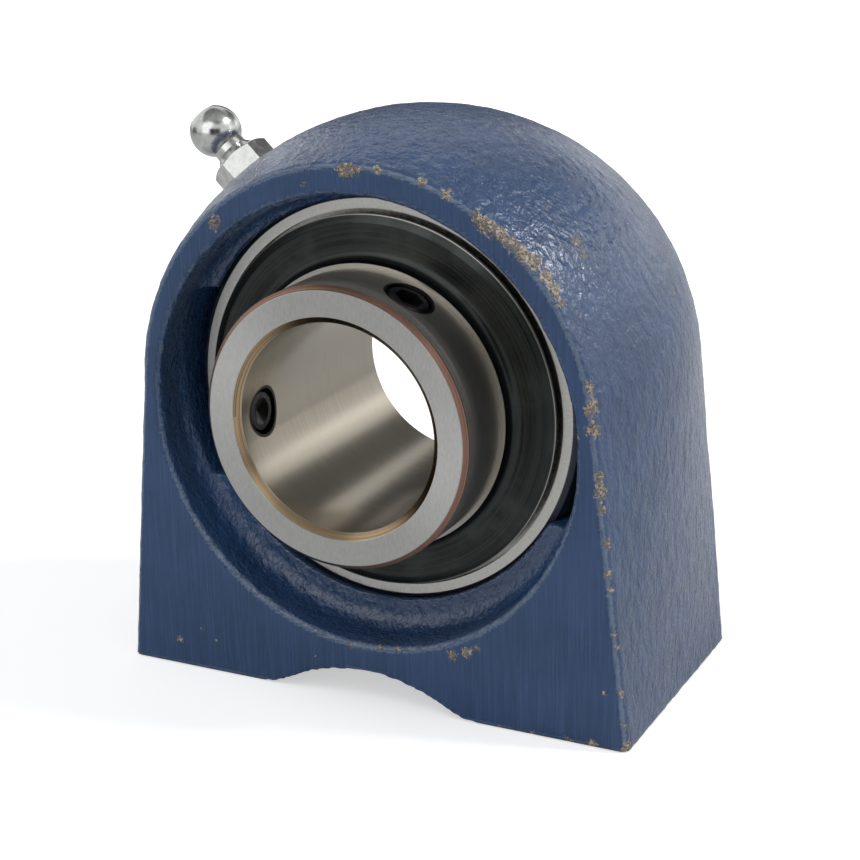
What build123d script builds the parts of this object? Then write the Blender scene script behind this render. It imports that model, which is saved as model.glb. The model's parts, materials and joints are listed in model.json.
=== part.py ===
from build123d import *
import os
from math import acos, atan2, cos, hypot, pi, radians, sin, sqrt, tan

# Short-base pillow block unit for a 25 mm shaft: a cast housing, a ball bearing insert that
# swivels in a spherical seat, and a grease nipple. All sizes are in millimetres.
# Frame: the origin is the centre of the spherical seat, on the shaft axis. +Y runs along the
# shaft from the set-screw side (front) to the back, +X is to the right, +Z is up.

# ---- housing -------------------------------------------------------------------------------
shaft_height = 36.5          # base face to shaft axis
base_length = 68.0           # along X, at the base face
body_depth = 36.0            # along Y
seat_to_front = 14.0         # seat centre to the front face
rim_width = 2.3              # recess mouth to the dome, at the front and back faces
crown_rise = 3.7             # the dome is this much larger at mid depth, where the mould parts
front_edge_round = 0.9
back_edge_round = 2.2
recess_step = 1.3            # cast recess round the insert: its mouth beyond the seat sphere
recess_draft = 3.5           # degrees
recess_drop = 1.5            # the recess is cast a little below the shaft axis
recess_corner_round = 2.0
recess_lip_round = 0.8
seat_width = 17.0            # along the shaft axis, between the two recess floors
slot_height = 24.0           # loading slots at the two sides of the seat
slot_gap = 0.5               # slot wall beyond the seat sphere
arch_half_width = 12.6       # relief between the two feet
arch_height = 3.9
arch_blend = 9.0
bolt_spacing = 50.8
bolt_hole_radius = 5.0       # M10, at its outer diameter
bolt_hole_depth = 13.0
drill_point_angle = 118.0
bolt_hole_chamfer = 0.3
grease_groove_width = 2.0
grease_groove_depth = 0.7

# ---- grease nipple -------------------------------------------------------------------------
nipple_angle = 135.0         # from +X towards +Z
spot_face_depth = 0.5        # spot face below the top of the crown
spot_face_radius = 4.9
nipple_thread_radius = 3.0   # M6, at its outer diameter
nipple_to_seat = 1.5         # end of the nipple's thread to the spherical seat
nipple_thread_chamfer = 0.6
nipple_hex_width = 7.0       # across flats
nipple_hex_height = 3.3
nipple_hex_chamfer_angle = 30.0
nipple_neck_radius = 2.1
nipple_shoulder_radius = 3.0
nipple_shoulder_height = 1.1
nipple_head_radius = 3.25
nipple_head_centre = 7.7     # above the spot face
nipple_top = 10.3            # above the spot face
nipple_inlet_radius = 0.6
nipple_inlet_depth = 1.4     # from the top to the cone that the check ball closes
nipple_channel_radius = 1.25
check_ball_radius = 1.0
spring_wire_radius = 0.16
spring_turns = 5
grease_passage_radius = 1.2

# ---- insert --------------------------------------------------------------------------------
bore_radius = 12.5
outer_ring_width = 15.0
inner_ring_width = 34.1
inner_ring_long_side = 19.8  # insert centre to the set-screw end
inner_groove_wall = 3.026    # bore to the bottom of the inner ball groove
outer_groove_wall = 2.456    # bottom of the outer ball groove to the spherical outside
inner_shoulder_height = 1.344
outer_shoulder_height = 1.344
bore_chamfer = 0.8
ring_chamfer = 0.6
outer_ring_chamfer = 0.5
ball_radius = 3.969
ball_count = 9
first_ball_angle = 90.0
groove_conformity = 0.52     # raceway groove radius over ball diameter
seal_seat_step = 1.0         # widened mouth of the outer ring, beyond its shoulder
oil_hole_radius = 0.6

# ---- cage ----------------------------------------------------------------------------------
cage_sheet = 0.7
cage_to_shoulder = 0.915     # radial space between the cage and each ring
cage_pocket_gap = 0.16
rivet_radius = 0.5
rivet_head_radius = 0.95
rivet_crown_radius = 0.57
rivet_head_height = 0.4

# ---- seals and slingers --------------------------------------------------------------------
seal_sheet = 0.5
seal_to_cage = 0.771
seal_to_inner_ring = 1.53    # steel washer to the inner ring; the rubber lip fills it
seal_crimp_radius = 0.35
lip_overlap = 0.85           # rubber that grips the washer
lip_bead = 0.45
lip_tip_thickness = 0.3
slinger_sheet = 0.5
slinger_rim_gap = 0.45       # rim to the wall of the outer ring's mouth
slinger_rim_width = 1.0      # the part of the disc that bends back to the rim
slinger_rim_stand_off = 1.1  # rim ahead of the outer ring's side face
slinger_dish = 0.35          # rim set back from the inner part of the disc
slinger_bend_radius = 1.3
slinger_collar = 1.6

# ---- set screws ----------------------------------------------------------------------------
set_screw_angles = (63.5, 183.5)
set_screw_to_end = 5.5       # screw axis to the long end of the inner ring
set_screw_hole_radius = 2.75 # M6, at its pitch diameter
set_screw_length = 4.0
set_screw_hole_chamfer = 0.3
screw_socket_width = 3.0
screw_socket_depth = 2.0
screw_cup_radius = 1.6
screw_cup_depth = 0.7
screw_chamfer = 0.45

# ---- clearances ----------------------------------------------------------------------------
seat_clearance = 0.08
raceway_clearance = 0.04
screw_clearance = 0.05
thread_clearance = 0.02
lip_clearance = 0.12
rivet_clearance = 0.02
screw_tip_gap = 0.2          # screw point behind the bore wall at rest
check_ball_clearance = 0.08
spring_clearance = 0.1
nipple_thread_gap = 0.1      # end of the nipple's thread to the bottom of its hole

# ---- modelling allowances ------------------------------------------------------------------
overrun = 1.0                # cutting tools run this far past the faces they cut
near = 0.001                 # edges and corners are found by place to within this

# ---- places worked out from the sizes above ------------------------------------------------
inner_groove_bottom = bore_radius + inner_groove_wall
pitch_radius = inner_groove_bottom + raceway_clearance + ball_radius
outer_groove_bottom = pitch_radius + ball_radius + raceway_clearance
seat_sphere_radius = outer_groove_bottom + outer_groove_wall
groove_radius = groove_conformity * 2 * ball_radius
inner_groove_centre = inner_groove_bottom + groove_radius
outer_groove_centre = outer_groove_bottom - groove_radius
inner_ring_radius = inner_groove_bottom + inner_shoulder_height
outer_shoulder_radius = outer_groove_bottom - outer_shoulder_height
cage_inner_radius = inner_ring_radius + cage_to_shoulder
cage_outer_radius = outer_shoulder_radius - cage_to_shoulder
half_ring = outer_ring_width / 2
seal_face = ball_radius + cage_pocket_gap + cage_sheet + seal_to_cage
seal_seat_radius = outer_shoulder_radius + seal_seat_step
seal_inner_radius = inner_ring_radius + seal_to_inner_ring
slinger_rim_radius = seal_seat_radius - slinger_rim_gap
ring_front = -inner_ring_long_side
ring_back = ring_front + inner_ring_width
screw_y = ring_front + set_screw_to_end
screw_radius = set_screw_hole_radius - screw_clearance
ball_pitch_angle = 360 / ball_count

body_front = -seat_to_front
body_back = body_front + body_depth
body_mid = (body_front + body_back) / 2
half_base = base_length / 2
housing_seat_radius = seat_sphere_radius + seat_clearance
recess_floor = seat_width / 2
recess_mouth_radius = seat_sphere_radius + recess_step
dome_radius = recess_mouth_radius + rim_width
crown_radius = dome_radius + crown_rise
nipple_seat_radius = crown_radius - spot_face_depth
nipple_thread_length = nipple_seat_radius - housing_seat_radius - nipple_to_seat

above = (Align.CENTER, Align.CENTER, Align.MIN)
below = (Align.CENTER, Align.CENTER, Align.MAX)


def radial_plane(angle, y, distance):
    """Plane whose Z points away from the shaft axis at this angle, at this distance from it."""
    outward = Vector(cos(radians(angle)), 0, sin(radians(angle)))
    origin = outward * distance + Vector(0, y, 0)
    return Plane(origin=origin, x_dir=(0, 1, 0), z_dir=outward)


def turned(*corners):
    """Ring turned about the shaft axis from the (radius, y) corners of its half section."""
    return revolve(make_face(Polyline(*corners, close=True)), Axis.Y)


def spun(*corners):
    """Piece turned about the Z axis from the (radius, z) corners of its half section."""
    section = Plane.XZ * make_face(Polyline(*corners, close=True))
    return revolve(section, Axis.Z)


def mirrored(piece):
    """The same piece on the other side of the insert's middle."""
    return mirror(piece, Plane.XZ)


# ---- housing -------------------------------------------------------------------------------
def body_outline(y, radius):
    """Dome arc with sides that leave it tangentially and flare out to just below the base."""
    reach = hypot(half_base, shaft_height)
    tangent_angle = atan2(-shaft_height, half_base) + acos(radius / reach)
    side = Vector(radius * cos(tangent_angle), radius * sin(tangent_angle))
    foot = Vector(half_base, -shaft_height)
    foot += (foot - side) * (overrun / (side.Y + shaft_height))
    other_side = (-side.X, side.Y)
    other_foot = (-foot.X, foot.Y)
    outline = [
        ThreePointArc(side, (0, radius), other_side),
        Line(other_side, other_foot),
        Line(other_foot, foot),
        Line(foot, side),
    ]
    return Plane.XZ.offset(-y) * make_face(outline)


def recess_tool(face_y):
    """Drafted recess from one face of the body down to the edge of the seat."""
    outward = 1 if face_y > 0 else -1
    floor_y = outward * recess_floor
    depth = abs(face_y - floor_y)
    floor_radius = recess_mouth_radius - depth * tan(radians(recess_draft))
    section = make_face(
        Polyline((0, floor_y), (floor_radius, floor_y), (recess_mouth_radius, face_y),
                 (recess_mouth_radius, face_y + outward * overrun), (0, face_y + outward * overrun),
                 close=True)
    )
    corner = section.vertices().sort_by(Axis.X).filter_by(lambda v: abs(v.Y - floor_y) < near)[-1]
    section = fillet(corner, recess_corner_round)
    return Pos(0, 0, -recess_drop) * revolve(section, Axis.Y)


def loading_slots():
    """Side slots that let the insert in edgewise before it is turned into its seat."""
    wall = housing_seat_radius + slot_gap
    disc = Plane.XZ.offset(seat_to_front) * Cylinder(wall, seat_to_front, align=below)
    slab = Plane.XZ.offset(seat_to_front) * Box(2 * wall, slot_height, seat_to_front, align=below)
    return disc & slab


def bolt_hole(x):
    """Blind tapped hole in the base, with its drill point and mouth chamfer."""
    point = bolt_hole_radius / tan(radians(drill_point_angle / 2))
    mouth_radius = bolt_hole_radius + bolt_hole_chamfer
    hole = spun((0, 0), (mouth_radius, 0), (bolt_hole_radius, bolt_hole_chamfer),
                (bolt_hole_radius, bolt_hole_depth), (0, bolt_hole_depth + point))
    return Pos(x, body_mid, -shaft_height) * hole


def arch_tool():
    """Hollow between the feet: a shallow arc that blends into the base at both ends."""
    radius = (arch_half_width**2 + arch_height**2) / (2 * arch_height)
    arc = Pos(0, arch_height - radius) * Circle(radius)
    underside = Rectangle(2 * (arch_half_width + arch_blend), 2 * radius, align=(Align.CENTER, Align.MAX))
    profile = arc + underside
    springings = profile.vertices().filter_by(
        lambda v: abs(v.Y) < near and abs(abs(v.X) - arch_half_width) < near)
    profile = Pos(0, -shaft_height) * fillet(springings, arch_blend)
    return extrude(Plane.XZ.offset(seat_to_front + overrun) * profile, -(body_depth + 2 * overrun))


def round_face_edges(body, face_y, radius):
    """Round the dome and side edges of one end face, not its bottom edge."""
    edges = body.edges().filter_by(
        lambda e: all(abs(v.Y - face_y) < near for v in e.vertices())
        and e.center().Z > -shaft_height + 2 * arch_height)
    return fillet(edges, radius)


def nipple_hole():
    """Spot face, tapped hole and grease passage under the nipple."""
    seat = radial_plane(nipple_angle, body_mid, nipple_seat_radius)
    spot_face = Cylinder(spot_face_radius, crown_radius - nipple_seat_radius + overrun, align=above)
    tapped = Cylinder(nipple_thread_radius, nipple_thread_length + nipple_thread_gap, align=below)
    passage_length = nipple_seat_radius - seat_sphere_radius + overrun
    passage = Cylinder(grease_passage_radius, passage_length, align=below)
    return seat * (spot_face + tapped + passage)


def grease_groove():
    """Ring groove in the seat that carries grease round to the insert's oil hole."""
    section = Rectangle(overrun + grease_groove_depth, grease_groove_width, align=(Align.MIN, Align.CENTER))
    return revolve(Pos(housing_seat_radius - overrun, body_mid) * section, Axis.Y)


def recess_lip(body, face_y):
    """The recess's mouth edge at one end face."""
    return body.edges().filter_by(GeomType.CIRCLE).filter_by(
        lambda e: abs(e.center(CenterOf.BOUNDING_BOX).Y - face_y) < near
        and abs(e.radius - recess_mouth_radius) < near)


def make_housing():
    body = loft([
        body_outline(body_front, dome_radius),
        body_outline(body_mid, crown_radius),
        body_outline(body_back, dome_radius),
    ])
    body = split(body, Plane.XY.offset(-shaft_height), keep=Keep.TOP)
    body -= arch_tool()
    body = round_face_edges(body, body_front, front_edge_round)
    body = round_face_edges(body, body_back, back_edge_round)
    for face_y in (body_front, body_back):
        body -= recess_tool(face_y)
    for face_y in (body_front, body_back):
        body = fillet(recess_lip(body, face_y), recess_lip_round)
    body -= Sphere(housing_seat_radius)
    body -= loading_slots()
    body -= grease_groove()
    for x in (-bolt_spacing / 2, bolt_spacing / 2):
        body -= bolt_hole(x)
    body -= nipple_hole()
    return body


# ---- grease nipple -------------------------------------------------------------------------
def nipple_body():
    """Turned and hexagonal body with a ball head, standing on the spot face at z = 0."""
    flat = nipple_hex_width / 2
    corner = flat / cos(pi / 6)
    hexagon = extrude(RegularPolygon(flat, 6, major_radius=False), nipple_hex_height)
    bevel = (corner - flat) * tan(radians(nipple_hex_chamfer_angle))
    bevels = spun((0, 0), (flat, 0), (corner, bevel), (corner, nipple_hex_height - bevel),
                  (flat, nipple_hex_height), (0, nipple_hex_height))
    shoulder_top = nipple_hex_height + nipple_shoulder_height
    stem = spun((0, nipple_hex_height), (nipple_shoulder_radius, nipple_hex_height),
                (nipple_neck_radius, shoulder_top), (nipple_neck_radius, nipple_head_centre),
                (0, nipple_head_centre))
    head = Pos(0, 0, nipple_head_centre) * Sphere(nipple_head_radius)
    flat_top = Pos(0, 0, nipple_top) * Cylinder(nipple_head_radius, nipple_head_radius, align=above)
    thread_radius = nipple_thread_radius - thread_clearance
    thread = spun((0, 0), (thread_radius, 0), (thread_radius, nipple_thread_chamfer - nipple_thread_length),
                  (thread_radius - nipple_thread_chamfer, -nipple_thread_length), (0, -nipple_thread_length))
    body = (hexagon & bevels) + stem + head + thread - flat_top
    channel_foot = -nipple_thread_length - overrun
    cone_foot = check_ball_seat()
    cone_top = cone_foot + nipple_channel_radius - nipple_inlet_radius
    inlet_end = nipple_top + overrun
    channel = spun((0, channel_foot), (nipple_channel_radius, channel_foot),
                   (nipple_channel_radius, cone_foot), (nipple_inlet_radius, cone_top),
                   (nipple_inlet_radius, inlet_end), (0, inlet_end))
    return body - channel


def check_ball_seat():
    """Height of the foot of the 45 degree cone that the check ball closes."""
    return nipple_top - nipple_inlet_depth


def check_ball_centre():
    """Height at which the check ball rests just under its cone."""
    cone_apex = check_ball_seat() + nipple_channel_radius
    return cone_apex - (check_ball_radius + check_ball_clearance) * sqrt(2)


def check_spring():
    """Coil from the end of the nipple to the check ball, ground flat at both ends."""
    foot = -nipple_thread_length + spring_wire_radius
    top = check_ball_centre() - check_ball_radius - spring_wire_radius - spring_clearance / 2
    mean_radius = nipple_channel_radius - spring_wire_radius - spring_clearance
    pitch = (top - foot) / spring_turns
    path = Pos(0, 0, foot) * Helix(pitch, top - foot, mean_radius)
    start = Plane(origin=path @ 0, z_dir=path % 0)
    return sweep(start * RegularPolygon(spring_wire_radius, 6), path, is_frenet=True)


def nipple_parts():
    seat = radial_plane(nipple_angle, body_mid, nipple_seat_radius)
    ball = Pos(0, 0, check_ball_centre()) * Sphere(check_ball_radius)
    return {
        "grease_nipple": seat * nipple_body(),
        "nipple_check_ball": seat * ball,
        "nipple_spring": seat * check_spring(),
    }


# ---- rings ---------------------------------------------------------------------------------
def make_outer_ring():
    """Ring with a spherical outside, one deep groove inside and a widened mouth at each side."""
    edge_radius = sqrt(seat_sphere_radius**2 - half_ring**2)
    section = Circle(seat_sphere_radius) & Pos(outer_shoulder_radius, 0) * Rectangle(
        seat_sphere_radius, outer_ring_width, align=(Align.MIN, Align.CENTER))
    edges = section.vertices().filter_by(lambda v: abs(v.X - edge_radius) < near)
    section = chamfer(edges, outer_ring_chamfer)
    for side in (-1, 1):
        mouth = Rectangle(2 * seal_seat_radius, half_ring - seal_face, align=(Align.CENTER, Align.MIN))
        crimp = Rectangle(2 * (seal_seat_radius + seal_crimp_radius), 2 * seal_crimp_radius,
                          align=(Align.CENTER, Align.MIN))
        flip = Rot(0, 0, 0 if side > 0 else 180)
        section -= flip * Pos(0, seal_face) * (mouth + crimp)
    section -= Pos(outer_groove_centre, 0) * Circle(groove_radius)
    ring = revolve(section, Axis.Y)
    hole = radial_plane(nipple_angle, body_mid, outer_shoulder_radius - overrun)
    wall = seat_sphere_radius - outer_shoulder_radius
    return ring - hole * Cylinder(oil_hole_radius, wall + 2 * overrun, align=above)


def raceway(centre_radius):
    """Torus that cuts a ball groove."""
    return revolve(Pos(centre_radius, 0) * Circle(groove_radius), Axis.Y)


def set_screw_hole():
    """Radial hole through the ring's wall, with a 45 degree countersink outside."""
    foot = bore_radius - overrun
    countersink = inner_ring_radius - set_screw_hole_chamfer
    flare = set_screw_hole_chamfer + overrun
    return spun((0, foot), (set_screw_hole_radius, foot), (set_screw_hole_radius, countersink),
                (set_screw_hole_radius + flare, countersink + flare), (0, countersink + flare))


def make_inner_ring():
    """Wide ring with its bore, ball groove and two radial set-screw holes."""
    ring = turned(
        (bore_radius + bore_chamfer, ring_front), (inner_ring_radius - ring_chamfer, ring_front),
        (inner_ring_radius, ring_front + ring_chamfer), (inner_ring_radius, ring_back - ring_chamfer),
        (inner_ring_radius - ring_chamfer, ring_back), (bore_radius + bore_chamfer, ring_back),
        (bore_radius, ring_back - bore_chamfer), (bore_radius, ring_front + bore_chamfer),
    )
    ring -= raceway(inner_groove_centre)
    for angle in set_screw_angles:
        ring -= radial_plane(angle, screw_y, 0) * set_screw_hole()
    return ring


# ---- balls and cage ------------------------------------------------------------------------
def ball_plane(number, offset=0.0):
    """Plane at a ball's place on the pitch circle, or part of a pitch on from it."""
    angle = first_ball_angle + (number + offset) * ball_pitch_angle
    return radial_plane(angle, 0, pitch_radius)


def make_balls():
    return {
        f"ball_{number + 1}": ball_plane(number) * Sphere(ball_radius)
        for number in range(ball_count)
    }


def rivet_plane(number):
    """Plane at a rivet's place, halfway between two balls, with its Z along the shaft axis."""
    return Plane(origin=ball_plane(number, 0.5).origin, z_dir=(0, 1, 0))


def cage_half(side):
    """Pressed half cage: flat webs between the balls and a spherical pocket over each ball."""
    pocket = ball_radius + cage_pocket_gap
    half = turned((cage_inner_radius, 0), (cage_outer_radius, 0),
                  (cage_outer_radius, side * cage_sheet), (cage_inner_radius, side * cage_sheet))
    reach = 2 * pocket
    band = turned((cage_inner_radius, 0), (cage_outer_radius, 0),
                  (cage_outer_radius, side * reach), (cage_inner_radius, side * reach))
    for number in range(ball_count):
        half += ball_plane(number) * Sphere(pocket + cage_sheet) & band
    for number in range(ball_count):
        half -= ball_plane(number) * Sphere(pocket)
        half -= rivet_plane(number) * Cylinder(rivet_radius + rivet_clearance, 4 * cage_sheet)
    return half


def cage_rivets():
    """Round-headed rivets, one through each web."""
    head = cage_sheet + rivet_head_height
    rivet = spun((0, -head), (rivet_crown_radius, -head), (rivet_head_radius, -cage_sheet),
                 (rivet_radius, -cage_sheet), (rivet_radius, cage_sheet), (rivet_head_radius, cage_sheet),
                 (rivet_crown_radius, head), (0, head))
    return Compound(children=[rivet_plane(number) * rivet for number in range(ball_count)])


# ---- seals and slingers --------------------------------------------------------------------
def seal_shell_front():
    """Pressed steel washer whose crimped edge sits in the outer ring's mouth."""
    inner_face = -seal_face
    outer_face = inner_face - seal_sheet
    edge = seal_seat_radius + seal_crimp_radius
    crimp_end = inner_face - 2 * seal_crimp_radius
    return turned((seal_inner_radius, inner_face), (edge, inner_face), (edge, crimp_end),
                  (edge - seal_sheet, crimp_end), (edge - seal_sheet, outer_face),
                  (seal_inner_radius, outer_face))


def seal_lip_front():
    """Rubber lip moulded round the inner edge of the washer, riding on the inner ring."""
    inner_face = -seal_face
    outer_face = inner_face - seal_sheet
    tip = inner_ring_radius + lip_clearance
    root = seal_inner_radius + lip_overlap
    bead_end = outer_face - lip_bead
    return turned((root, inner_face), (seal_inner_radius, inner_face), (seal_inner_radius, outer_face),
                  (root, outer_face), (root, bead_end), (seal_inner_radius, bead_end),
                  (tip, outer_face - lip_tip_thickness / 2), (tip, outer_face + lip_tip_thickness / 2),
                  (seal_inner_radius - lip_bead, inner_face + lip_bead), (root, inner_face + lip_bead))


def slinger_front():
    """Dished guard pressed on the inner ring: collar, bend and disc with a rolled rim."""
    rim_y = -half_ring - slinger_rim_stand_off
    disc_y = rim_y - slinger_dish
    collar_end = disc_y - slinger_collar
    outer = inner_ring_radius + slinger_sheet
    flat_edge = slinger_rim_radius - slinger_rim_width
    profile = make_face(Polyline(
        (inner_ring_radius, collar_end), (outer, collar_end), (outer, disc_y), (flat_edge, disc_y),
        (slinger_rim_radius, rim_y), (slinger_rim_radius, rim_y + slinger_sheet),
        (flat_edge, disc_y + slinger_sheet), (inner_ring_radius, disc_y + slinger_sheet), close=True))
    inner_bend = profile.vertices().filter_by(
        lambda v: abs(v.X - outer) < near and abs(v.Y - disc_y) < near)
    profile = fillet(inner_bend, slinger_bend_radius)
    return revolve(profile, Axis.Y)


# ---- set screws ----------------------------------------------------------------------------
def set_screw():
    """Socket set screw with a cup point; its axis is Z and its point is at z = 0."""
    blank = spun((0, 0), (screw_radius - screw_chamfer, 0), (screw_radius, screw_chamfer),
                 (screw_radius, set_screw_length - screw_chamfer),
                 (screw_radius - screw_chamfer, set_screw_length), (0, set_screw_length))
    cup = spun((0, screw_cup_depth), (screw_cup_radius, 0), (screw_cup_radius, -overrun), (0, -overrun))
    socket = Pos(0, 0, set_screw_length - screw_socket_depth) * extrude(
        RegularPolygon(screw_socket_width / 2, 6, major_radius=False), screw_socket_depth + overrun)
    return blank - cup - socket


def set_screws():
    start = bore_radius + screw_tip_gap
    return {
        f"set_screw_{number}": radial_plane(angle, screw_y, start) * set_screw()
        for number, angle in enumerate(set_screw_angles, 1)
    }


# ---- the whole unit ------------------------------------------------------------------------
def make_parts():
    parts = {"housing": make_housing()}
    parts |= nipple_parts()
    parts |= {"outer_ring": make_outer_ring(), "inner_ring": make_inner_ring()}
    parts |= make_balls()
    parts |= {"cage_front": cage_half(-1), "cage_back": cage_half(1), "cage_rivets": cage_rivets()}
    for name, piece in (("seal_shell", seal_shell_front()), ("seal_lip", seal_lip_front()),
                        ("slinger", slinger_front())):
        parts[f"{name}_front"] = piece
        parts[f"{name}_back"] = mirrored(piece)
    parts |= set_screws()
    return parts


os.makedirs("parts", exist_ok=True)
for name, shape in make_parts().items():
    export_step(shape, f"parts/{name}.step")
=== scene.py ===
import json
from math import cos, pi, radians, sin

import bmesh
import bpy
import numpy as np
from mathutils import Matrix, Vector, noise
from mathutils.bvhtree import BVHTree

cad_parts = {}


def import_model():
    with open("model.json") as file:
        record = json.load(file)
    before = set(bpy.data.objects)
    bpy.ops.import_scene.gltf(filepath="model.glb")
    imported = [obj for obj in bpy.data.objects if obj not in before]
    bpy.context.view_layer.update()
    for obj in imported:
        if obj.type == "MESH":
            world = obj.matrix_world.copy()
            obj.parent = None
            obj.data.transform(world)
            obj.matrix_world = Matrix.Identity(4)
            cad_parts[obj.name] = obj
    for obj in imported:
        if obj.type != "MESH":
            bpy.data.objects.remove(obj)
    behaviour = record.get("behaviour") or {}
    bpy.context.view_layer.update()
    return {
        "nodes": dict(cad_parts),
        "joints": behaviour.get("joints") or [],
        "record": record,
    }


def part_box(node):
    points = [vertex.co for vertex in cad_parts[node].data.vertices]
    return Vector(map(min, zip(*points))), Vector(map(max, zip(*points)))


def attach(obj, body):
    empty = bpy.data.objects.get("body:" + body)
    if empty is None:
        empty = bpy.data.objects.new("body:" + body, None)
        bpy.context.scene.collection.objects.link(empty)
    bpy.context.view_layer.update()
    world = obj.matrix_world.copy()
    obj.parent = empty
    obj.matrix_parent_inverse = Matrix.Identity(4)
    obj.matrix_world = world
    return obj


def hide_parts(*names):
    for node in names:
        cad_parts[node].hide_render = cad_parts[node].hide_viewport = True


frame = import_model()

# Looks of the pillow block unit. Lengths are in metres, in the frame of the CAD model: the origin
# is the centre of the bearing, +Y runs from the set-screw side to the back, and +Z is up. The
# insert's materials work along SHAFT, the axis of its bore. Shader coordinates and the tables of
# chips are in millimetres.

MM = 0.001

# ---- sizes read from the frame ---------------------------------------------------------------
MOUNTS = {mount["name"]: mount for mount in frame["record"]["mounts"]}
JOINTS = {joint["name"]: joint for joint in frame["joints"]}
SHAFT = Vector(MOUNTS["shaft_bore"]["axis"]).normalized()
ACROSS = Vector((1, 0, 0))
RISE = ACROSS.cross(SHAFT)


def span(node):
    """Least and greatest place along the shaft, and greatest distance from it, in millimetres."""
    piece = frame["nodes"][node]
    places = [piece.matrix_world @ vertex.co / MM for vertex in piece.data.vertices]
    along = [place.dot(SHAFT) for place in places]
    return min(along), max(along), max((place - SHAFT * place.dot(SHAFT)).length for place in places)


def added(name, data):
    """A new object in the scene that holds the data."""
    made = bpy.data.objects.new(name, data)
    bpy.context.scene.collection.objects.link(made)
    return made


housing_low, housing_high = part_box("housing")
FRONT_Y = housing_low.y
BACK_Y = housing_high.y
BASE_Z = housing_low.z
RING_FRONT, RING_BACK, _ = span("inner_ring")
OUTER_BACK = span("outer_ring")[1]
COLLAR_END, _, SLINGER_RIM = span("slinger_front")
SEAT_GAP = 0.08 * MM         # outer ring to the seat it swivels in
SEAT_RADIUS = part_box("outer_ring")[1].x + SEAT_GAP
BORE_RADIUS = MOUNTS["shaft_bore"]["dims"]["r_mm"]


# ---- shader building -------------------------------------------------------------------------
class Shader:
    """A material's node tree, built by chaining calls."""

    def __init__(self, name):
        self.material = bpy.data.materials.new(name)
        self.material.use_nodes = True
        self.tree = self.material.node_tree
        self.bsdf = self.tree.nodes["Principled BSDF"]

    def put(self, socket, value):
        if isinstance(value, bpy.types.NodeSocket):
            self.tree.links.new(value, socket)
        else:
            socket.default_value = value

    def node(self, kind, output=0, inputs=None, **settings):
        made = self.tree.nodes.new("ShaderNode" + kind)
        for key, value in settings.items():
            setattr(made, key, value)
        for key, value in (inputs or {}).items():
            self.put(made.inputs[key], value)
        return made.outputs[output]

    def math(self, operation, a, b=0.0, clamp=False):
        return self.node("Math", inputs={0: a, 1: b}, operation=operation, use_clamp=clamp)

    def coordinates(self):
        """Place on the object at rest, in millimetres."""
        place = self.node("TexCoord", output="Object")
        return self.node("VectorMath", inputs={0: place, 3: 1 / MM}, operation="SCALE")

    def stretched(self, place, scale):
        return self.node("Mapping", inputs={"Vector": place, "Scale": scale}, vector_type="POINT")

    def noise(self, place, scale, detail=2.0, roughness=0.5, distortion=0.0):
        return self.node("TexNoise", inputs={"Vector": place, "Scale": scale, "Detail": detail,
                                             "Roughness": roughness, "Distortion": distortion})

    def ramp(self, value, low, high, to_low=0.0, to_high=1.0):
        """Smooth step from to_low at low to to_high at high."""
        return self.node("MapRange", inputs={"Value": value, "From Min": low, "From Max": high,
                                             "To Min": to_low, "To Max": to_high},
                         interpolation_type="SMOOTHSTEP")

    def mix(self, share, a, b):
        made = self.tree.nodes.new("ShaderNodeMix")
        made.data_type = "RGBA"
        self.put(made.inputs["Factor"], share)
        self.put(made.inputs["A"], a if isinstance(a, bpy.types.NodeSocket) else (*a, 1))
        self.put(made.inputs["B"], b if isinstance(b, bpy.types.NodeSocket) else (*b, 1))
        return made.outputs["Result"]

    def blend(self, share, a, b):
        made = self.tree.nodes.new("ShaderNodeMix")
        self.put(made.inputs["Factor"], share)
        self.put(made.inputs["A"], a)
        self.put(made.inputs["B"], b)
        return made.outputs["Result"]

    def bump(self, height, depth_mm):
        return self.node("Bump", inputs={"Height": height, "Distance": depth_mm * MM, "Strength": 1.0})

    def attribute(self, name):
        return self.node("Attribute", output="Fac", attribute_name=name)

    def set(self, **values):
        for key, value in values.items():
            if isinstance(value, tuple):
                value = (*value, 1)
            self.put(self.bsdf.inputs[key.replace("_", " ")], value)
        return self.material


def polar(shader, place):
    """Distance from the shaft axis, place along it, and the two places across it."""
    x, y, z = (shader.node("VectorMath", output="Value", inputs={0: place, 1: tuple(axis)},
                           operation="DOT_PRODUCT") for axis in (ACROSS, SHAFT, RISE))
    square = shader.math("ADD", shader.math("MULTIPLY", x, x), shader.math("MULTIPLY", z, z))
    return shader.math("SQRT", square), y, x, z


def turned_lines(shader, radius, along, x, z, scale, streak=0.4):
    """Noise in rings round the shaft axis, as a lathe leaves it, with slow change round the turn."""
    angle = shader.math("ARCTAN2", z, x)
    rings = shader.node("CombineXYZ", inputs={0: shader.math("MULTIPLY", radius, scale),
                                              1: shader.math("MULTIPLY", along, scale),
                                              2: shader.math("MULTIPLY", angle, streak)})
    return shader.noise(rings, 1.0, detail=3.0, roughness=0.65)


# ---- materials -------------------------------------------------------------------------------
PAINT_BLUE = (0.022, 0.063, 0.160)
PAINT_DEEP = (0.015, 0.047, 0.122)
PAINT_BRUSHED = (0.040, 0.088, 0.215)
# rubbed paint with a painted highlight, for the edges of the outline and the recess's mouth
PAINT_RUBBED_AND_HIGHLIGHT = (0.13, 0.185, 0.28)
IRON_TAN = (0.54, 0.47, 0.37)
IRON_GREY = (0.17, 0.16, 0.145)
IRON_RUST = (0.075, 0.043, 0.028)


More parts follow.
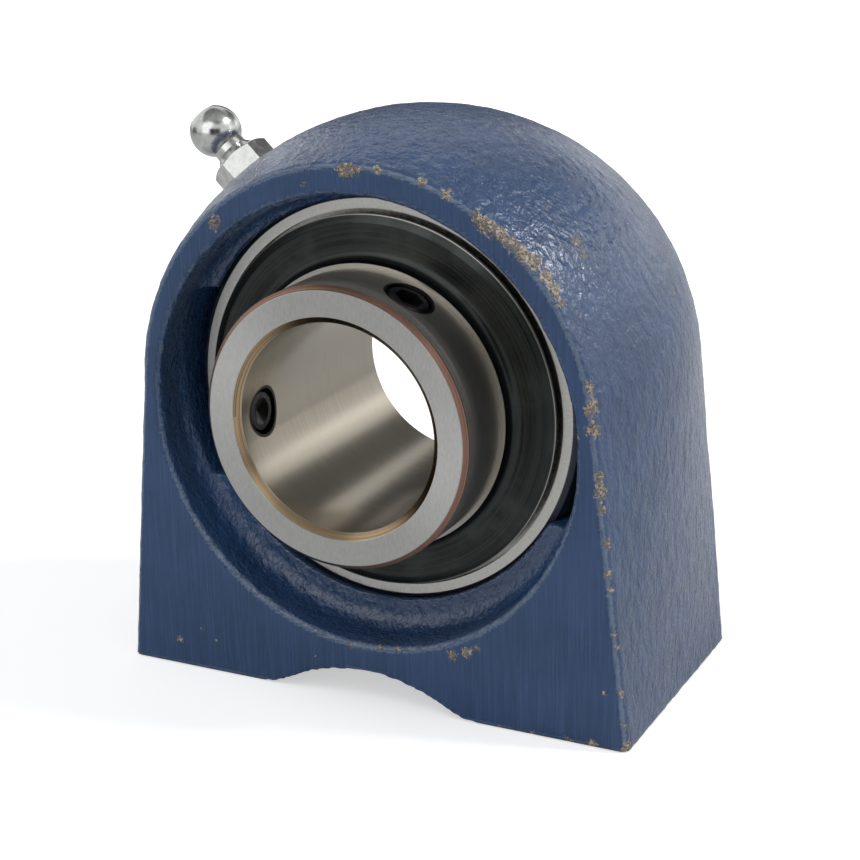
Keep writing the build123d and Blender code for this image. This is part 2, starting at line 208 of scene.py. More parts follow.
def housing_paint():
    """Blue paint over cast iron: orange peel, machining lines under the flat faces, chips at edges, and
    rubbed edges with a painted highlight.
    """
    shader = Shader("housing_paint_finish")
    place = shader.coordinates()
    machined = shader.attribute("machined")
    wear = shader.attribute("wear")
    # the rub attribute holds the rubbed edges together with their painted highlight
    rub = shader.attribute("rub")

    peel = shader.noise(shader.stretched(place, (1.0, 1.0, 0.6)), 0.95, detail=3.0, roughness=0.5,
                        distortion=0.5)
    grain = shader.noise(shader.stretched(place, (1.0, 1.0, 0.7)), 2.4, detail=3.0, roughness=0.55)
    cast_height = shader.math("ADD", peel, shader.math("MULTIPLY", grain, 0.34))
    lines = shader.noise(shader.stretched(place, (4.2, 1.0, 0.075)), 1.0, detail=4.0, roughness=0.62)
    wander = shader.noise(shader.stretched(place, (0.8, 1.0, 0.10)), 1.0, detail=2.0)
    machined_height = shader.math("ADD", shader.math("MULTIPLY", lines, 0.30),
                                  shader.math("MULTIPLY", wander, 0.16))
    height = shader.blend(machined, cast_height, machined_height)

    ragged = shader.noise(place, 1.6, detail=7.0, roughness=0.78, distortion=0.7)
    chipped = shader.ramp(shader.math("ADD", wear, ragged), 0.98, 1.03)
    height = shader.math("SUBTRACT", height, shader.math("MULTIPLY", chipped, 0.22))
    rough_iron = shader.noise(place, 3.6, detail=5.0, roughness=0.75)
    height = shader.math("ADD", height, shader.math("MULTIPLY",
                         shader.math("MULTIPLY", rough_iron, chipped), 0.40))

    tone = shader.noise(place, 0.12, detail=4.0, roughness=0.6)
    paint = shader.mix(shader.ramp(tone, 0.3, 0.7), PAINT_DEEP, PAINT_BLUE)
    streaks = shader.math("MULTIPLY", shader.ramp(lines, 0.42, 0.72), machined)
    paint = shader.mix(shader.math("MULTIPLY", streaks, 0.75), paint, PAINT_BRUSHED)
    # paler blue along the edges: rubbed paint with a painted highlight
    scuff_and_highlight = shader.ramp(shader.math("ADD", rub, shader.noise(place, 3.1, detail=5.0, roughness=0.7)),
                          0.95, 1.15)
    paint = shader.mix(shader.math("MULTIPLY", scuff_and_highlight, 0.75), paint, PAINT_RUBBED_AND_HIGHLIGHT)
    iron = shader.mix(shader.ramp(rough_iron, 0.43, 0.56), IRON_RUST, IRON_TAN)
    iron = shader.mix(shader.ramp(shader.noise(place, 1.7, detail=4.0), 0.50, 0.58), iron, IRON_GREY)
    colour = shader.mix(chipped, paint, iron)
    gloss = shader.ramp(shader.noise(place, 1.8, detail=3.0), 0.3, 0.7, 0.24, 0.38)
    gloss = shader.blend(machined, gloss, 0.42)
    roughness = shader.blend(chipped, gloss, 0.58)
    cast = shader.math("SUBTRACT", 1.0, shader.math("MAXIMUM", machined, chipped))
    relief = shader.bump(height, 0.46)
    return shader.set(Base_Color=colour, Roughness=roughness, Specular_IOR_Level=0.50,
                      Coat_Weight=shader.math("MULTIPLY", cast, 0.55), Coat_Roughness=0.17,
                      Normal=relief, Coat_Normal=shader.bump(height, 0.20))


SCREW_NODES = ("set_screw_1", "set_screw_2")
# Where one finish of a ring gives way to the next: start and end of the change, in millimetres.
END_FACE = (0.03, 0.12)      # in from a ground end face
CHAMFER = (0.60, 0.85)       # in from an end face, past its tinted chamfer
BORE_CHAMFER = (0.75, 0.90)  # out from the wall of the bore
SCREW_HOLE = (3.02, 3.18)    # out from the axis of a set screw


def near_ends(shader, along, change):
    """1 at both ends of the inner ring, 0 past the change."""
    start, end = change
    return shader.math("MAXIMUM", shader.ramp(along, RING_FRONT + end, RING_FRONT + start),
                       shader.ramp(along, RING_BACK - end, RING_BACK - start))


def ring_steel():
    """Bearing steel: ground end faces, turned outside, polished bore, heat tint on the chamfers."""
    shader = Shader("ring_steel_finish")
    place = shader.coordinates()
    radius, along, x, z = polar(shader, place)
    near_end = near_ends(shader, along, END_FACE)
    at_edge = near_ends(shader, along, CHAMFER)
    tinted = shader.math("MULTIPLY", at_edge, shader.math("SUBTRACT", 1.0, near_end), clamp=True)
    in_bore = shader.ramp(radius, BORE_RADIUS + BORE_CHAMFER[1], BORE_RADIUS + BORE_CHAMFER[0])

    ground = shader.noise(shader.stretched(place, (5.0, 1.0, 1.3)), 1.0, detail=4.0, roughness=0.7)
    turned = turned_lines(shader, radius, along, x, z, 9.0)
    height = shader.blend(near_end, turned, ground)

    face_steel = shader.mix(shader.ramp(ground, 0.3, 0.7), (0.39, 0.39, 0.375), (0.455, 0.455, 0.44))
    turned_steel = shader.mix(shader.ramp(turned, 0.3, 0.7), (0.58, 0.545, 0.48), (0.71, 0.67, 0.60))
    steel = shader.mix(near_end, turned_steel, face_steel)
    bore_steel = shader.mix(shader.ramp(turned, 0.3, 0.7), (0.31, 0.282, 0.232), (0.36, 0.328, 0.27))
    steel = shader.mix(shader.math("MULTIPLY", in_bore, shader.math("SUBTRACT", 1.0, near_end)),
                       steel, bore_steel)
    outer_tint = shader.mix(shader.ramp(turned, 0.3, 0.7), (0.15, 0.085, 0.062), (0.31, 0.18, 0.135))
    bore_tint = shader.mix(shader.ramp(turned, 0.3, 0.7), (0.15, 0.095, 0.055), (0.50, 0.37, 0.22))
    colour = shader.mix(tinted, steel, shader.mix(in_bore, outer_tint, bore_tint))

    roughness = shader.blend(in_bore, 0.44, 0.20)
    roughness = shader.blend(tinted, roughness, 0.22)
    roughness = shader.math("ADD", roughness, shader.ramp(turned, 0.3, 0.7, -0.03, 0.04))
    for name in SCREW_NODES:
        away = screw_axis_distance(shader, place, name)
        beyond_bore = shader.ramp(radius, BORE_RADIUS - 0.3, BORE_RADIUS + 0.05)
        # the ring is coloured black inside each set screw's hole, within the hole's radius of the screw's
        # axis
        black_in_screw_hole = shader.math("MULTIPLY", shader.ramp(away, SCREW_HOLE[1], SCREW_HOLE[0]), beyond_bore)
        colour = shader.mix(black_in_screw_hole, colour, (0.014, 0.014, 0.014))
        roughness = shader.blend(black_in_screw_hole, roughness, 0.45)
    relief = shader.blend(in_bore, shader.blend(near_end, 2.4, 0.8), 0.05)
    grooves = shader.node("Tangent", output="Tangent", direction_type="RADIAL", axis="Y")
    return shader.set(Base_Color=colour, Metallic=1.0, Roughness=roughness, Anisotropic=0.7,
                      Tangent=grooves, Normal=shader.bump(shader.math("MULTIPLY", height, relief), 0.010))


def screw_axis_distance(shader, place, node):
    """Distance from a set screw's axis, on that screw's side of the ring."""
    axis = Vector(JOINTS[node + "_travel"]["axis"]).normalized()
    low, high, _ = span(node)
    offset = shader.node("VectorMath", inputs={0: place, 1: tuple(SHAFT * (low + high) / 2)},
                         operation="SUBTRACT")
    along = shader.node("VectorMath", output="Value", inputs={0: offset, 1: tuple(axis)},
                        operation="DOT_PRODUCT")
    reach = shader.node("VectorMath", inputs={0: tuple(axis), 3: shader.math("MAXIMUM", along, 0.0)},
                        operation="SCALE")
    across = shader.node("VectorMath", inputs={0: offset, 1: reach}, operation="SUBTRACT")
    return shader.node("VectorMath", output="Value", inputs={0: across}, operation="LENGTH")


def outer_ring_steel():
    """The outer ring: ground side faces with fine scratches, polished spherical outside."""
    shader = Shader("outer_ring_finish")
    place = shader.coordinates()
    radius, along, x, z = polar(shader, place)
    spokes = shader.node("CombineXYZ", inputs={
        0: shader.math("MULTIPLY", shader.math("ARCTAN2", z, x), 80.0),
        1: shader.math("MULTIPLY", radius, 1.4)})
    ground = shader.noise(spokes, 1.0, detail=5.0, roughness=0.75)
    turned = turned_lines(shader, radius, along, x, z, 9.0)
    face = shader.ramp(shader.math("ABSOLUTE", along), OUTER_BACK - 0.1, OUTER_BACK - 0.03)
    colour = shader.mix(shader.ramp(ground, 0.3, 0.7), (0.43, 0.425, 0.405), (0.54, 0.535, 0.51))
    colour = shader.mix(face, (0.30, 0.29, 0.275), colour)
    roughness = shader.ramp(ground, 0.3, 0.7, 0.30, 0.40)
    return shader.set(Base_Color=colour, Metallic=1.0, Roughness=roughness,
                      Normal=shader.bump(shader.blend(face, turned, ground), 0.008))


def slinger_steel():
    """Phosphated black sheet, rubbed a little brighter along the rim and the end of the collar."""
    shader = Shader("slinger_finish")
    place = shader.coordinates()
    radius, along, x, z = polar(shader, place)
    rings = turned_lines(shader, radius, along, x, z, 2.4, streak=0.5)
    worn = shader.math("MAXIMUM", shader.ramp(radius, SLINGER_RIM - 0.14, SLINGER_RIM - 0.05),
                       shader.ramp(shader.math("ABSOLUTE", along), -COLLAR_END - 0.12, -COLLAR_END - 0.05))
    cloud = shader.noise(place, 0.16, detail=3.0, roughness=0.5)
    black = shader.mix(shader.ramp(rings, 0.3, 0.7), (0.019, 0.021, 0.021), (0.038, 0.041, 0.040))
    black = shader.mix(shader.ramp(cloud, 0.45, 0.7), black, (0.044, 0.050, 0.048))
    colour = shader.mix(shader.math("MULTIPLY", worn, 0.8), black, (0.42, 0.40, 0.37))
    roughness = shader.ramp(rings, 0.3, 0.7, 0.24, 0.34)
    return shader.set(Base_Color=colour, Metallic=0.9, Roughness=roughness,
                      Normal=shader.bump(rings, 0.012))


def black_oxide():
    """Black set screws with bright rubbed edges in places."""
    shader = Shader("set_screw_finish")
    place = shader.coordinates()
    rub = shader.noise(place, 2.2, detail=4.0, roughness=0.7)
    colour = shader.mix(shader.ramp(rub, 0.56, 0.72), (0.022, 0.022, 0.023), (0.10, 0.098, 0.094))
    roughness = shader.ramp(rub, 0.3, 0.7, 0.38, 0.26)
    return shader.set(Base_Color=colour, Metallic=0.8, Roughness=roughness,
                      Normal=shader.bump(shader.noise(place, 9.0, detail=2.0), 0.008))


def zinc_plate():
    """Bright zinc: soft mirror with faint waves and dull clouds."""
    shader = Shader("nipple_finish")
    place = shader.coordinates()
    cloud = shader.noise(place, 0.9, detail=4.0, roughness=0.6)
    colour = shader.mix(shader.ramp(cloud, 0.35, 0.65), (0.46, 0.47, 0.455), (0.60, 0.61, 0.595))
    roughness = shader.ramp(cloud, 0.3, 0.7, 0.17, 0.28)
    return shader.set(Base_Color=colour, Metallic=1.0, Roughness=roughness,
                      Normal=shader.bump(shader.noise(place, 0.7, detail=1.0), 0.016))


def milled_iron():
    """Bare machined iron with the rings of the cutter."""
    shader = Shader("milled_iron_finish")
    place = shader.coordinates()
    rings = shader.noise(place, 6.0, detail=4.0, roughness=0.7)
    colour = shader.mix(shader.ramp(rings, 0.3, 0.7), (0.46, 0.44, 0.41), (0.66, 0.64, 0.60))
    return shader.set(Base_Color=colour, Metallic=1.0, Roughness=0.30, Normal=shader.bump(rings, 0.01))


def plain_steel(name, dark, light, low, high):
    """Inner steel: drawn or pressed, with fine cloudy variation."""
    shader = Shader(name)
    place = shader.coordinates()
    cloud = shader.noise(place, 2.0, detail=5.0, roughness=0.65)
    colour = shader.mix(shader.ramp(cloud, 0.3, 0.7), dark, light)
    return shader.set(Base_Color=colour, Metallic=1.0, Roughness=shader.ramp(cloud, 0.3, 0.7, low, high),
                      Normal=shader.bump(shader.noise(place, 7.0, detail=3.0), 0.004))


def seal_rubber():
    """Black nitrile rubber with a bloomed, slightly dusty surface."""
    shader = Shader("seal_rubber_finish")
    place = shader.coordinates()
    bloom = shader.noise(place, 1.3, detail=5.0, roughness=0.7)
    colour = shader.mix(shader.ramp(bloom, 0.4, 0.7), (0.012, 0.012, 0.012), (0.030, 0.030, 0.031))
    return shader.set(Base_Color=colour, Roughness=shader.ramp(bloom, 0.3, 0.7, 0.50, 0.68),
                      Normal=shader.bump(shader.noise(place, 8.0, detail=3.0), 0.010))


def dress(node, material):
    """Put a material on a CAD node in place of its own."""
    target = frame["nodes"][node]
    target.data.materials.clear()
    target.data.materials.append(material)


def dress_cad_nodes():
    """A finished material on each CAD node that stays visible."""
    steel = plain_steel("cage_steel_finish", (0.40, 0.39, 0.37), (0.58, 0.57, 0.55), 0.28, 0.42)
    ball = plain_steel("ball_steel_finish", (0.66, 0.66, 0.67), (0.74, 0.74, 0.75), 0.06, 0.10)
    wire = plain_steel("spring_steel_finish", (0.34, 0.34, 0.34), (0.50, 0.50, 0.50), 0.25, 0.36)
    slinger = slinger_steel()
    screw = black_oxide()
    rubber = seal_rubber()
    finishes = {"outer_ring": outer_ring_steel(), "inner_ring": ring_steel(), "grease_nipple": zinc_plate(),
                "nipple_check_ball": ball, "nipple_spring": wire}
    for side in ("front", "back"):
        finishes[f"slinger_{side}"] = slinger
        finishes[f"seal_shell_{side}"] = steel
        finishes[f"seal_lip_{side}"] = rubber
        finishes[f"cage_{side}"] = steel
    finishes["cage_rivets"] = steel
    for node in frame["nodes"]:
        if node.startswith("ball_"):
            finishes[node] = ball
        if node.startswith("set_screw_"):
            finishes[node] = screw
    for node, material in finishes.items():
        dress(node, material)


# ---- cast housing ----------------------------------------------------------------------------
SKIN_CELL = 0.42 * MM
CAST_SWELL = 0.10 * MM       # slow unevenness of the casting
CAST_GRAIN = 0.075 * MM      # pebbled skin that the mesh can hold
SWELL_WAVES = (0.16, 0.4)    # coarse and fine noise of each, in cycles per millimetre
GRAIN_WAVES = (0.75, 1.6)
GRAIN_SQUASH = 0.6           # the grain is drawn out upwards
SWELL_TOP, GRAIN_TOP = 0.9, 0.7  # taken off the noise, so that the skin stays inside the CAD surface
WELD = 0.002 * MM


def welded_copy(node, name):
    """A new object with the node's mesh, its faces joined along their edges."""
    mesh = frame["nodes"][node].data.copy()
    work = bmesh.new()
    work.from_mesh(mesh)
    bmesh.ops.remove_doubles(work, verts=work.verts, dist=WELD)
    work.to_mesh(mesh)
    work.free()
    return added(name, mesh)


def remeshed(piece, cell):
    """The piece as an even mesh of square cells, with its modifier applied."""
    modifier = piece.modifiers.new("even", "REMESH")
    modifier.mode = "VOXEL"
    modifier.voxel_size = cell
    ready = piece.evaluated_get(bpy.context.evaluated_depsgraph_get())
    mesh = bpy.data.meshes.new_from_object(ready)
    piece.modifiers.clear()
    piece.data = mesh
    return piece


# Places where the paint has chipped, chosen along the edges of the casting. Lengths are in
# millimetres and each row ends with the chip's radius and strength.
EDGE_CHIPS = [               # degrees from the top towards +X, behind the front face, inside the outline
    (-40, 0.0, 1.6, 1.6, 0.62), (-24, 0.4, 0.3, 1.0, 0.52), (-12, 0.0, 2.0, 1.1, 0.54),
    (-1, 0.0, 0.8, 1.8, 0.64), (2, 0.0, 0.8, 1.3, 0.62), (7, 0.1, 0.3, 1.1, 0.62),
    (18, 0.2, 0.2, 1.2, 0.62), (24, 0.3, 0.1, 1.4, 0.60), (29, 6.5, 0.0, 0.9, 0.50),
    (33, 0.1, 0.4, 1.4, 0.66), (35, 0.1, 0.3, 1.6, 0.68), (38, 0.2, 0.2, 1.7, 0.68),
    (42, 0.3, 0.1, 1.7, 0.67), (45, 0.5, 0.0, 1.8, 0.67), (48, 0.9, 0.0, 1.7, 0.67),
    (52, 1.0, 0.0, 1.6, 0.65), (55, 1.0, 0.0, 1.5, 0.65), (58, 0.8, 0.1, 1.2, 0.60),
    (53, 3.0, 0.0, 1.4, 0.50), (40, 8.0, 0.0, 1.0, 0.52), (49, 8.0, 0.0, 1.5, 0.60),
    (52, 7.6, 0.0, 1.1, 0.58), (-38, 35.4, 0.2, 1.6, 0.60), (15, 35.5, 0.2, 1.7, 0.62),
    (64, 35.4, 0.2, 1.5, 0.58), (-18, 22.0, 0.0, 1.1, 0.52), (68, 22.0, 0.0, 1.2, 0.54),
    (-80, 28.0, 0.0, 1.5, 0.55), (-62, 12.0, 0.0, 1.2, 0.53),
]
SIDE_CHIPS = [               # height on the front right corner, behind the front face
    (6.8, 0.3, 1.3, 0.60), (4.4, 0.3, 1.7, 0.66), (2.0, 0.2, 1.7, 0.64), (-3.4, 0.2, 1.3, 0.62),
    (-5.0, 0.2, 1.7, 0.64), (-7.2, 0.2, 1.3, 0.60), (-11.2, 0.2, 1.3, 0.61),
    (-14.6, 0.1, 1.3, 0.60), (-16.6, 0.1, 1.1, 0.58), (-22.0, 0.1, 1.2, 0.57),
    (-23.6, 0.2, 1.0, 0.56), (-29.0, 0.1, 1.3, 0.58), (-33.0, 0.1, 1.0, 0.56),
    (-36.0, 0.2, 1.8, 0.63), (-24.0, 35.6, 1.6, 0.60),
]
LIP_CHIPS = [                # degrees from the bottom towards +X, outside the recess's mouth
    (-4, 0.5, 0.9, 0.54), (4, 0.1, 1.1, 0.62), (9, 0.2, 1.0, 0.58), (24, 1.8, 1.3, 0.63),
    (28, 2.0, 1.3, 0.63), (31, 2.0, 1.0, 0.56),
]
FACE_CHIPS = [               # places on the front face and its lower edge: x, z
    (-26.7, -33.0, 0.9, 0.60), (-23.2, -30.9, 0.7, 0.57), (-21.4, -32.2, 0.6, 0.55),
    (29.5, -36.4, 1.5, 0.60), (26.5, -36.4, 1.3, 0.58), (22.0, -36.4, 1.1, 0.56),
    (17.8, -36.4, 1.1, 0.56), (31.0, -29.3, 0.8, 0.53), (27.4, 0.8, 0.8, 0.56),
    (13.0, -33.5, 0.5, 0.52), (-7.0, -31.6, 0.5, 0.52),
]
CROWN_RISE = 3.7             # the dome is this much larger at mid depth than at its edges, mm
EDGE_RADIUS = housing_high.z / MM - CROWN_RISE
DEPTH = (BACK_Y - FRONT_Y) / MM
SIDE_TOP = 1.7               # height where the dome runs into the leaning sides, mm
SIDE_FLARE = (housing_high.x / MM - EDGE_RADIUS) / (SIDE_TOP - BASE_Z / MM)
LIP_RADIUS = 27.3            # of the recess's mouth, mm
LIP_DROP = 1.5               # its centre below the bearing's, mm

ON_FACE = 0.05               # a point this near a flat face is on it, mm
FACING = 0.9                 # if its normal points that way at least this much
HOLE_REACH = 19.0            # of the tapped holes, with their drill points, above the base, mm
HOLE_MARGIN = 0.5
SEAT_MARGIN = 0.1
CHIP_FALL = 0.8              # how fast a chip fades past its radius
RUB_AND_HIGHLIGHT_DEPTH = 0.8              # how far the rubbing and painted highlight of an edge run back from its face, mm
OUTLINE_RUB_AND_HIGHLIGHT = 0.85           # strength, place inside the outline and width of the rubbing with its painted highlight
OUTLINE_RUB_AT, OUTLINE_RUB_WIDTH = 0.35, 0.45
LIP_RUB_AND_HIGHLIGHT, LIP_RUB_LOW = 0.50, 0.40  # strength of the rubbing and painted highlight at the recess's mouth, and what is added at its foot, where the painted highlight is strongest
LIP_RUB_AT, LIP_RUB_WIDTH = 0.3, 0.7
RUB_AND_HIGHLIGHT_WEAR = 0.42              # share of the rubbing and painted highlight that counts as wear


def chip_places():
    """Every chip as place, radius and strength."""
    front = FRONT_Y / MM
    for angle, behind, inside, radius, strength in EDGE_CHIPS:
        crown = CROWN_RISE * (1 - (2 * behind / DEPTH - 1) ** 2)
        reach = EDGE_RADIUS + crown - inside
        yield (reach * sin(radians(angle)), front + behind, reach * cos(radians(angle))), radius, strength
    for height, behind, radius, strength in SIDE_CHIPS:
        yield (EDGE_RADIUS + SIDE_FLARE * (SIDE_TOP - height), front + behind, height), radius, strength
    for angle, outside, radius, strength in LIP_CHIPS:
        reach = LIP_RADIUS + outside
        height = -LIP_DROP - reach * cos(radians(angle))
        yield (reach * sin(radians(angle)), front, height), radius, strength
    for x, z, radius, strength in FACE_CHIPS:
        yield (x, front, z), radius, strength


def surface_masks(points, normals):
    """At each point: on a machined face, how worn through the paint is, and how rubbed it is, with a
    painted highlight along the outline and the recess's mouth.
    """
    x, y, z = (points / MM).T
    flat_front = (np.abs(y - FRONT_Y / MM) < ON_FACE) & (normals[:, 1] < -FACING)
    flat_back = (np.abs(y - BACK_Y / MM) < ON_FACE) & (normals[:, 1] > FACING)
    flat_base = (np.abs(z - BASE_Z / MM) < ON_FACE) & (normals[:, 2] < -FACING)
    in_seat = np.linalg.norm(points, axis=1) < SEAT_RADIUS + SEAT_MARGIN * MM
    bolts = MOUNTS["base_bolts"]
    hole_x = bolts["dims"]["spacing_x_mm"] / 2
    hole_y = bolts["pos_m"][1] / MM
    in_hole = (z < BASE_Z / MM + HOLE_REACH) & (
        np.hypot(np.abs(x) - hole_x, y - hole_y) < bolts["dims"]["hole_r_mm"] + HOLE_MARGIN)
    machined = (flat_front | flat_back | flat_base | in_seat | in_hole).astype(float)
    wear = np.zeros(len(points))
    for place, radius, strength in chip_places():
        away = ((x - place[0]) ** 2 + (y - place[1]) ** 2 + (z - place[2]) ** 2) / radius**2
        wear = np.maximum(wear, strength * np.exp(-CHIP_FALL * away))
    side = np.abs(x) - SIDE_FLARE * (SIDE_TOP - z)
    outline = np.where(z > 2 * SIDE_TOP, np.hypot(x, z), side) - EDGE_RADIUS
    # rub: rubbed paint and a painted highlight along the outline and the recess's mouth, the highlight
    # strongest at the mouth's foot
    rub = np.zeros(len(points))
    for face in (FRONT_Y, BACK_Y):
        at_face = np.exp(-((y - face / MM) / RUB_AND_HIGHLIGHT_DEPTH) ** 2)
        at_outline = np.exp(-((outline + OUTLINE_RUB_AT) / OUTLINE_RUB_WIDTH) ** 2)
        rub = np.maximum(rub, OUTLINE_RUB_AND_HIGHLIGHT * at_face * at_outline)
        lip = np.abs(np.hypot(x, z + LIP_DROP) - LIP_RADIUS)
        low = LIP_RUB_AND_HIGHLIGHT + LIP_RUB_LOW * np.clip(-z / LIP_RADIUS, 0, 1)
        rub = np.maximum(rub, low * at_face * np.exp(-((lip - LIP_RUB_AT) / LIP_RUB_WIDTH) ** 2))
    return machined, np.maximum(wear, RUB_AND_HIGHLIGHT_WEAR * rub), rub


def cast_skin():
    """The housing's visible surface: the CAD shape with the casting's unevenness in its mesh."""
    piece = welded_copy("housing", "housing_casting")
    tree = BVHTree.FromObject(piece, bpy.context.evaluated_depsgraph_get())
    remeshed(piece, SKIN_CELL)
    mesh = piece.data
    count = len(mesh.vertices)
    points = np.empty(count * 3)
    mesh.vertices.foreach_get("co", points)
    points = points.reshape(-1, 3)
    for index, point in enumerate(points):
        near, _, _, distance = tree.find_nearest(Vector(point))
        if distance < SKIN_CELL:
            points[index] = near
    mesh.vertices.foreach_set("co", points.ravel())
    mesh.update()
    normals = np.empty(count * 3)
    mesh.vertices.foreach_get("normal", normals)
    normals = normals.reshape(-1, 3)
    machined, wear, rub = surface_masks(points, normals)
    depth = np.zeros(count)
    for index in np.flatnonzero(machined == 0):
        place = Vector(points[index]) / MM
        swell = noise.noise(place * SWELL_WAVES[0]) + 0.5 * noise.noise(place * SWELL_WAVES[1])
        place.z *= GRAIN_SQUASH
        grain = noise.noise(place * GRAIN_WAVES[0]) + 0.4 * noise.noise(place * GRAIN_WAVES[1])
        depth[index] = CAST_SWELL * (swell - SWELL_TOP) / 2 + CAST_GRAIN * (grain - GRAIN_TOP)
    points += normals * np.minimum(depth, 0)[:, None]
    mesh.vertices.foreach_set("co", points.ravel())
    # the rub attribute carries the rubbing and the painted highlight
    for name, values in (("machined", machined), ("wear", wear), ("rub", rub)):
        mesh.attributes.new(name, "FLOAT", "POINT").data.foreach_set("value", values.astype(np.float32))
    mesh.polygons.foreach_set("use_smooth", [True] * len(mesh.polygons))
    mesh.update()
    mesh.materials.clear()
    mesh.materials.append(housing_paint())
    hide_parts("housing")
    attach(piece, "housing")


THREAD_PITCH = 1.5           # M10, in millimetres, as all of these lengths
THREAD_START = 0.5           # above the base face
THREAD_END = 11.5
THREAD_OUTER = 4.98
THREAD_INNER = 4.25
THREAD_WALL = 0.03           # of the sleeve under the ridge
THREAD_CREST = 1.25          # over 1, so that the ridge's crest is flat
ROWS_A_TURN = 10
STEPS_ROUND = 64
FADE_ROWS = 8                # over which the ridge rises at either end


def bolt_thread(name, centre):
    """Thread of one tapped hole: a thin sleeve in the hole, with the ridge on its inside."""
    turns = (THREAD_END - THREAD_START) / THREAD_PITCH
    rows, steps = int(turns * ROWS_A_TURN), STEPS_ROUND
    points = []
    for row in range(rows + 1):
        height = THREAD_START + (THREAD_END - THREAD_START) * row / rows
        fade = min(1, row / FADE_ROWS, (rows - row) / FADE_ROWS)
        for step in range(steps):
            phase = (height / THREAD_PITCH - step / steps) % 1
            ridge = fade * min(1, THREAD_CREST * (1 - abs(2 * phase - 1)))
            radius = THREAD_OUTER - THREAD_WALL - ridge * (THREAD_OUTER - THREAD_INNER)
            angle = 2 * pi * step / steps
            points.append(centre + Vector((radius * cos(angle), radius * sin(angle), height)) * MM)
    inside = len(points)
    for height in (THREAD_START, THREAD_END):
        for step in range(steps):
            angle = 2 * pi * step / steps
            rim = Vector((THREAD_OUTER * cos(angle), THREAD_OUTER * sin(angle), height))
            points.append(centre + rim * MM)
    faces = []
    for step in range(steps):
        after = (step + 1) % steps
        for row in range(rows):
            low, high = row * steps, (row + 1) * steps
            faces.append((low + step, high + step, high + after, low + after))
        bottom, top, last = inside, inside + steps, rows * steps
        faces.append((bottom + step, bottom + after, top + after, top + step))
        faces.append((step, after, bottom + after, bottom + step))
        faces.append((last + after, last + step, top + step, top + after))
    mesh = bpy.data.meshes.new(name)
    mesh.from_pydata(points, [], faces)
    mesh.materials.append(milled_iron())
    piece = added(name, mesh)
    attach(piece, "housing")


def bolt_threads():
    """The threads of both holes in the base."""
    bolts = MOUNTS["base_bolts"]
    middle = Vector(bolts["pos_m"])
    half = bolts["dims"]["spacing_x_mm"] / 2 * MM
    for name, side in (("left_bolt_thread", -1), ("right_bolt_thread", 1)):
        bolt_thread(name, middle + Vector((side * half, 0, 0)))


# ---- stage, lights and camera ----------------------------------------------------------------
FLOOR_LIFT = 0.52            # white added for the camera near the part, and far from it
FLOOR_FAR_LIFT = 0.95
FLOOR_NEAR, FLOOR_FAR = 0.10, 0.45
FLOOR_HALF = 6.0
FLOOR_DROP = 0.02 * MM       # below the feet
WORLD_LIGHT = (0.30, 0.31, 0.32, 1)


def floor():
    """Large pale floor just under the feet, white to the camera where nothing shades it."""
    mesh = bpy.data.meshes.new("floor")
    z = BASE_Z - FLOOR_DROP
    corners = [(a * FLOOR_HALF, b * FLOOR_HALF, z) for a, b in ((-1, -1), (1, -1), (1, 1), (-1, 1))]
    mesh.from_pydata(corners, [], [(0, 1, 2, 3)])
    piece = added("floor", mesh)
    shader = Shader("floor_finish")
    colour = shader.mix(shader.noise(shader.node("TexCoord", output="Object"), 3.0), (0.73, 0.73, 0.73),
                        (0.75, 0.75, 0.75))
    seen = shader.node("LightPath", output="Is Camera Ray")
    away = shader.node("VectorMath", output="Value", inputs={0: shader.node("TexCoord", output="Object")},
                       operation="LENGTH")
    lift = shader.ramp(away, FLOOR_NEAR, FLOOR_FAR, FLOOR_LIFT, FLOOR_FAR_LIFT)
    mesh.materials.append(shader.set(Base_Color=colour, Roughness=0.8, Specular_IOR_Level=0.2,
                                     Emission_Color=(1.0, 1.0, 1.0),
                                     Emission_Strength=shader.math("MULTIPLY", seen, lift)))


def toward(direction):
    """Unit vectors out along a direction (azimuth from -Y towards +X, elevation) and level to its right."""
    azimuth, elevation = (radians(value) for value in direction)
    out = Vector((sin(azimuth) * cos(elevation), -cos(azimuth) * cos(elevation), sin(elevation)))
    return out, Vector((cos(azimuth), sin(azimuth), 0))


def lamp(name, direction, distance, size, power):
    """Square soft lamp in a direction, aimed at the bearing."""
    data = bpy.data.lights.new(name, "AREA")
    data.size = size
    data.energy = power
    light = added(name, data)
    place, _ = toward(direction)
    light.location = place * distance
    light.rotation_euler = (-place).to_track_quat("-Z", "Y").to_euler()


def flag(name, direction, distance, width, height, shade):
    """Grey card that is seen only in reflections."""
    out, right = toward(direction)
    up = out.cross(right)
    centre = out * distance
    corners = [centre + right * width / 2 * a + up * height / 2 * b
               for a, b in ((-1, -1), (1, -1), (1, 1), (-1, 1))]
    mesh = bpy.data.meshes.new(name)
    mesh.from_pydata(corners, [], [(0, 1, 2, 3)])
    piece = added(name, mesh)
    shader = Shader(name + "_finish")
    mesh.materials.append(shader.set(Base_Color=(shade,) * 3, Roughness=0.9, Specular_IOR_Level=0.0))
    piece.visible_camera = False
    piece.visible_shadow = False
    piece.visible_diffuse = False


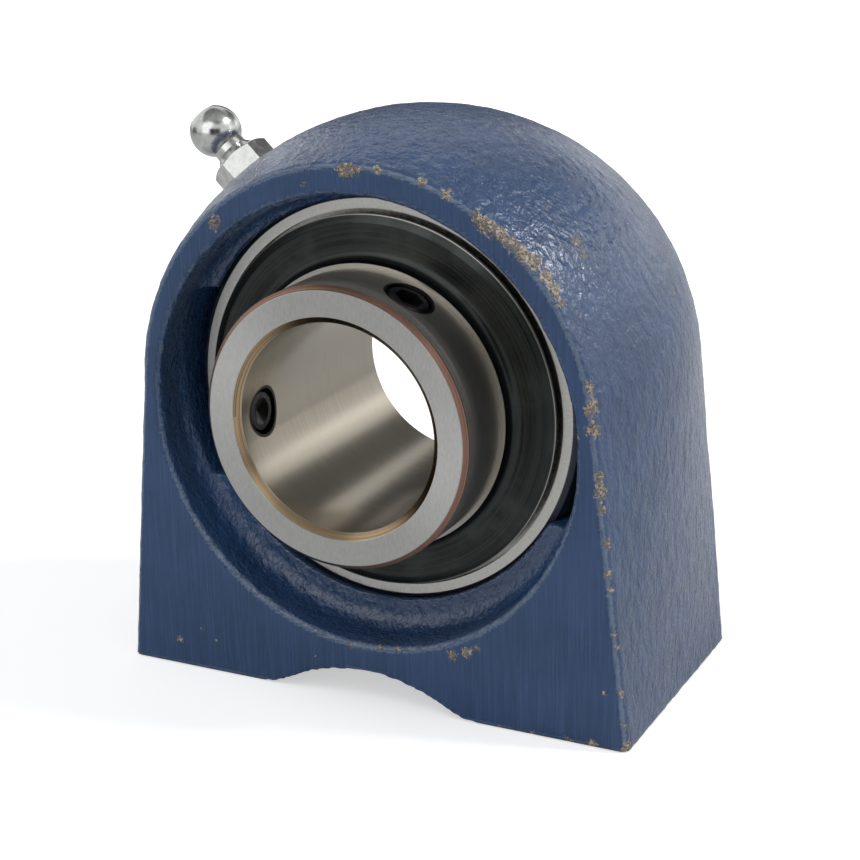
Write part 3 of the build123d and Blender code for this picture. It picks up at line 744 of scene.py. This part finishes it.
def world():
    """White for the camera and for reflections, plain soft light for the rest."""
    made = bpy.data.worlds.new("studio")
    made.use_nodes = True
    tree = made.node_tree
    background = tree.nodes["Background"]
    path = tree.nodes.new("ShaderNodeLightPath")
    white = path.outputs["Is Camera Ray"]
    for ray in ("Is Glossy Ray", "Is Transmission Ray"):
        either = tree.nodes.new("ShaderNodeMath")
        either.operation = "MAXIMUM"
        tree.links.new(white, either.inputs[0])
        tree.links.new(path.outputs[ray], either.inputs[1])
        white = either.outputs[0]
    shade = tree.nodes.new("ShaderNodeMix")
    shade.data_type = "RGBA"
    tree.links.new(white, shade.inputs["Factor"])
    shade.inputs["A"].default_value = WORLD_LIGHT
    shade.inputs["B"].default_value = (1, 1, 1, 1)
    tree.links.new(shade.outputs["Result"], background.inputs["Color"])
    bpy.context.scene.world = made


IMAGE_SIZE = 860              # pixels, each way
FOCAL_PIXELS = 1968.0
VIEW_AZIMUTH = 26.7           # degrees from -Y towards +X
VIEW_ELEVATION = 18.3
VIEW_ROLL = -1.3
VIEW_DISTANCE = 240.0 * MM
CENTRE_RIGHT = -19.0          # pixels from the image's middle to the bearing's centre
CENTRE_UP = 46.2
SENSOR = 36.0


def camera():
    """The photo's viewing angle, as one camera that suits both the housing and the insert."""
    roll = radians(VIEW_ROLL)
    back, level = toward((VIEW_AZIMUTH, VIEW_ELEVATION))
    rise = back.cross(level)
    right = level * cos(roll) + rise * sin(roll)
    up = rise * cos(roll) - level * sin(roll)
    reach = VIEW_DISTANCE / FOCAL_PIXELS
    data = bpy.data.cameras.new("camera")
    data.sensor_width = SENSOR
    data.lens = FOCAL_PIXELS * SENSOR / IMAGE_SIZE
    data.clip_start = 0.01
    eye = added("camera", data)
    turn = Matrix((right, up, back)).transposed().to_4x4()
    place = back * VIEW_DISTANCE - right * CENTRE_RIGHT * reach - up * CENTRE_UP * reach
    eye.matrix_world = Matrix.Translation(place) @ turn
    bpy.context.scene.camera = eye


dress_cad_nodes()
cast_skin()
bolt_threads()
floor()
world()
lamp("key", (108, 46), 0.9, 0.13, 3.8)
lamp("top", (-15, 68), 1.0, 0.8, 3.5)
lamp("side", (108, 12), 1.0, 0.34, 0.25)
lamp("streak", (153, 19), 0.7, 0.16, 0.10)
lamp("fill", (-12, 22), 1.1, 0.8, 1.8)
flag("front_flag", (27, 10), 0.6, 0.55, 0.30, 0.03)
flag("ceiling_flag", (0, 88), 0.8, 1.3, 1.3, 0.50)
flag("left_flag", (-75, 2), 0.6, 0.30, 0.22, 0.05)
flag("back_flag", (206, 14), 0.7, 0.30, 0.34, 0.12)
flag("rear_flag", (160, 34), 1.2, 1.0, 0.62, 0.36)
camera()
bpy.context.scene.view_settings.view_transform = "Standard"
